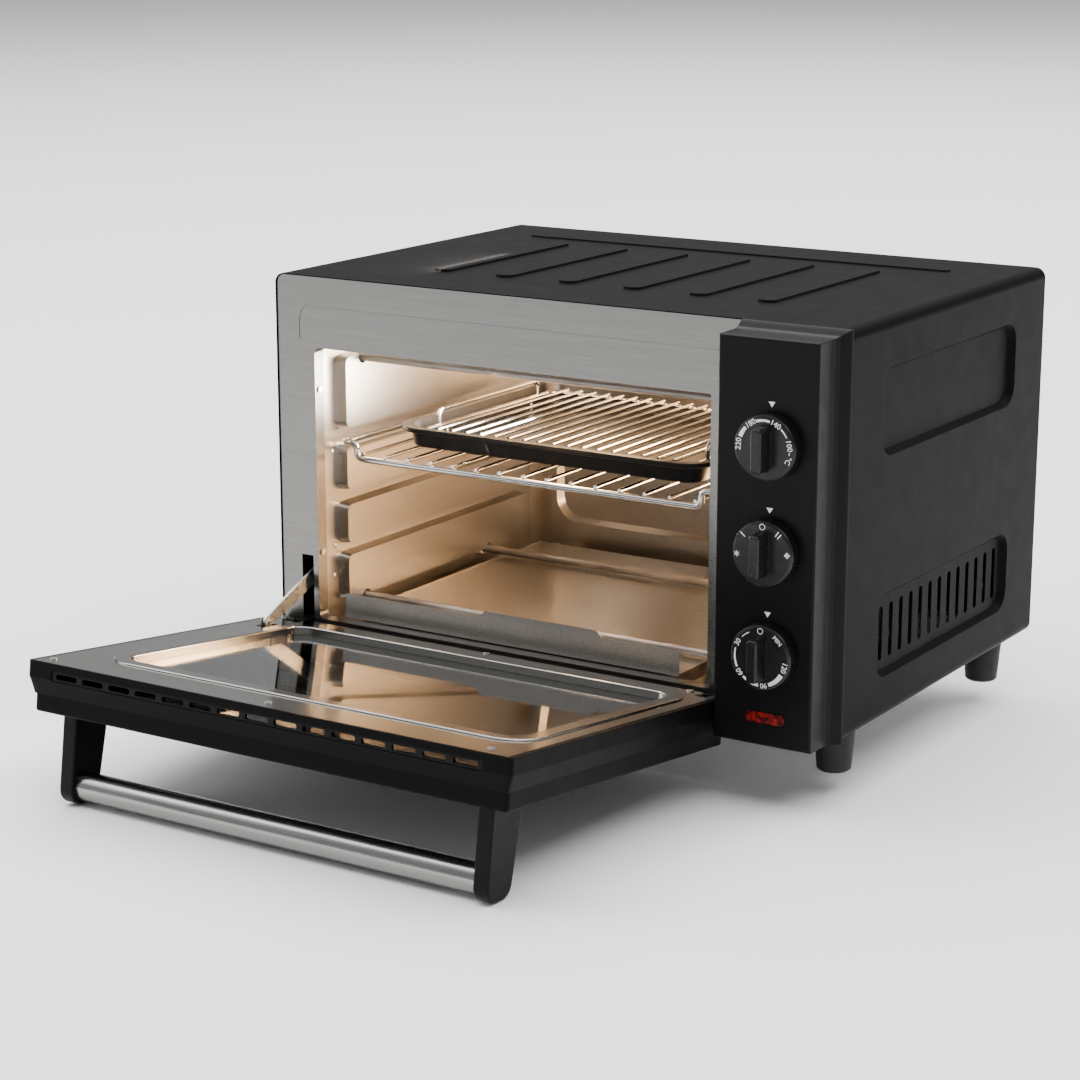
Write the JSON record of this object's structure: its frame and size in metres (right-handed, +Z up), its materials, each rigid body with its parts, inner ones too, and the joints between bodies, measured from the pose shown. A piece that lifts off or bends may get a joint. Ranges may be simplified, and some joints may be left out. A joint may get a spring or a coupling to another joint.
{
  "type": "toaster oven",
  "caption": "Counter-top oven with a drop-down glazed door, bar handle, wire rack, baking tray, crumb tray and a column of rotary dials.",
  "frame": {"origin": "centre of the casing's footprint, on the plane of the four foot soles", "axes": "+X to the right as seen from the front, +Y to the back of the oven, +Z up"},
  "size_m": [0.49, 0.6319, 0.3432],
  "materials": {
    "casing_black": "satin black powder coat",
    "panel_black": "satin black moulding",
    "knob_black": "satin black moulding with white markings",
    "frame_steel": "satin",
    "aluminised": "speckled aluminised sheet",
    "plain_steel": "zinc plated",
    "chrome_wire": "bright",
    "enamel": "glossy black enamel",
    "element_sheath": "annealed dark",
    "ceramic": "white ceramic",
    "glass": "clear",
    "handle_steel": "brushed along its length",
    "bracket_black": "satin black",
    "lamp_red": "translucent red",
    "switch_body": "off-white moulding",
    "foot_black": "matt black moulding",
    "shaft_steel": "turned",
    "spring_steel": "bright wire"
  },
  "bodies": {
    "cabinet": {"outer_casing": "casing_black", "base_plate": "plain_steel", "back_panel": "casing_black", "front_left_foot": "foot_black", "front_right_foot": "foot_black", "rear_left_foot": "foot_black", "rear_right_foot": "foot_black", "foot_screws": "plain_steel", "front_frame": "frame_steel", "cavity_left_wall": "aluminised", "cavity_right_wall": "aluminised", "cavity_top": "aluminised", "cavity_floor": "aluminised", "cavity_back": "aluminised", "lower_front_element": "element_sheath", "lower_rear_element": "element_sheath", "upper_front_element": "element_sheath", "upper_rear_element": "element_sheath", "element_bushes": "ceramic", "fan_pocket": "aluminised", "fan_cover": "aluminised", "control_bay_shield": "plain_steel", "fan_motor": "plain_steel", "control_panel": "panel_black", "thermostat": "switch_body", "function_switch": "switch_body", "timer": "plain_steel", "indicator_lens": "lamp_red", "neon_lamp": "glass", "thermal_cutout": "plain_steel", "terminal_block": "switch_body", "lead_grommet": "foot_black", "casing_screws": "plain_steel", "hinge_brackets": "bracket_black", "door_spring": "spring_steel"},
    "door": {"door_shell": "bracket_black", "door_vent_strip": "panel_black", "door_inner_panel": "frame_steel", "inner_glass": "glass", "outer_glass": "glass", "door_screws": "plain_steel", "left_handle_bracket": "panel_black", "right_handle_bracket": "panel_black", "handle_bar": "handle_steel", "hinge_carriers": "plain_steel", "hinge_pins": "shaft_steel", "arm_rivet": "shaft_steel"},
    "stay_arm": {"stay_arm": "plain_steel"},
    "rack": {"wire_rack": "chrome_wire"},
    "tray": {"baking_tray": "enamel"},
    "grill": {"grill_insert": "chrome_wire"},
    "crumb_tray": {"crumb_tray": "aluminised"},
    "temperature_dial": {"temperature_knob": "knob_black", "temperature_shaft": "shaft_steel"},
    "function_dial": {"function_knob": "knob_black", "function_shaft": "shaft_steel"},
    "timer_dial": {"timer_knob": "knob_black", "timer_shaft": "shaft_steel"},
    "fan": {"fan_blade": "plain_steel", "fan_shaft": "shaft_steel"}
  },
  "joints": [
    {"name": "door_hinge", "type": "hinge", "parent": "cabinet", "child": "door", "pos_m": [0, -0.181, 0.0445], "axis": [-1, 0, 0], "range_deg": [0, 83.1]},
    {"name": "arm_swing", "type": "hinge", "parent": "door", "child": "stay_arm", "pos_m": [0, -0.21938, 0.06445], "axis": [-1, 0, 0], "range_deg": [-58, 0], "deforming": ["door_spring"]},
    {"name": "rack_slide", "type": "slide", "parent": "cabinet", "child": "rack", "axis": [0, 1, 0], "range_m": [-0.25, 0]},
    {"name": "tray_slide", "type": "slide", "parent": "rack", "child": "tray", "axis": [0, 1, 0], "range_m": [-0.06, 0]},
    {"name": "grill_lift", "type": "slide", "parent": "tray", "child": "grill", "axis": [0, 0, 1], "range_m": [0, 0.03]},
    {"name": "crumb_tray_slide", "type": "slide", "parent": "cabinet", "child": "crumb_tray", "axis": [0, 1, 0], "range_m": [-0.02, 0]},
    {"name": "temperature_turn", "type": "hinge", "parent": "cabinet", "child": "temperature_dial", "pos_m": [0.202, -0.19, 0.2474], "axis": [0, 1, 0], "range_deg": [-105, 85]},
    {"name": "function_turn", "type": "hinge", "parent": "cabinet", "child": "function_dial", "pos_m": [0.202, -0.19, 0.1739], "axis": [0, 1, 0], "range_deg": [-85, 95]},
    {"name": "timer_turn", "type": "hinge", "parent": "cabinet", "child": "timer_dial", "pos_m": [0.202, -0.19, 0.1004], "axis": [0, 1, 0], "range_deg": [0, 255]},
    {"name": "fan_spin", "type": "hinge", "parent": "cabinet", "child": "fan", "pos_m": [0.14, 0.0078, 0.146], "axis": [1, 0, 0], "continuous": true}
  ],
  "couplings": [
    {"joint": "arm_swing", "follows": "door_hinge", "ratio": -0.66}
  ]
}
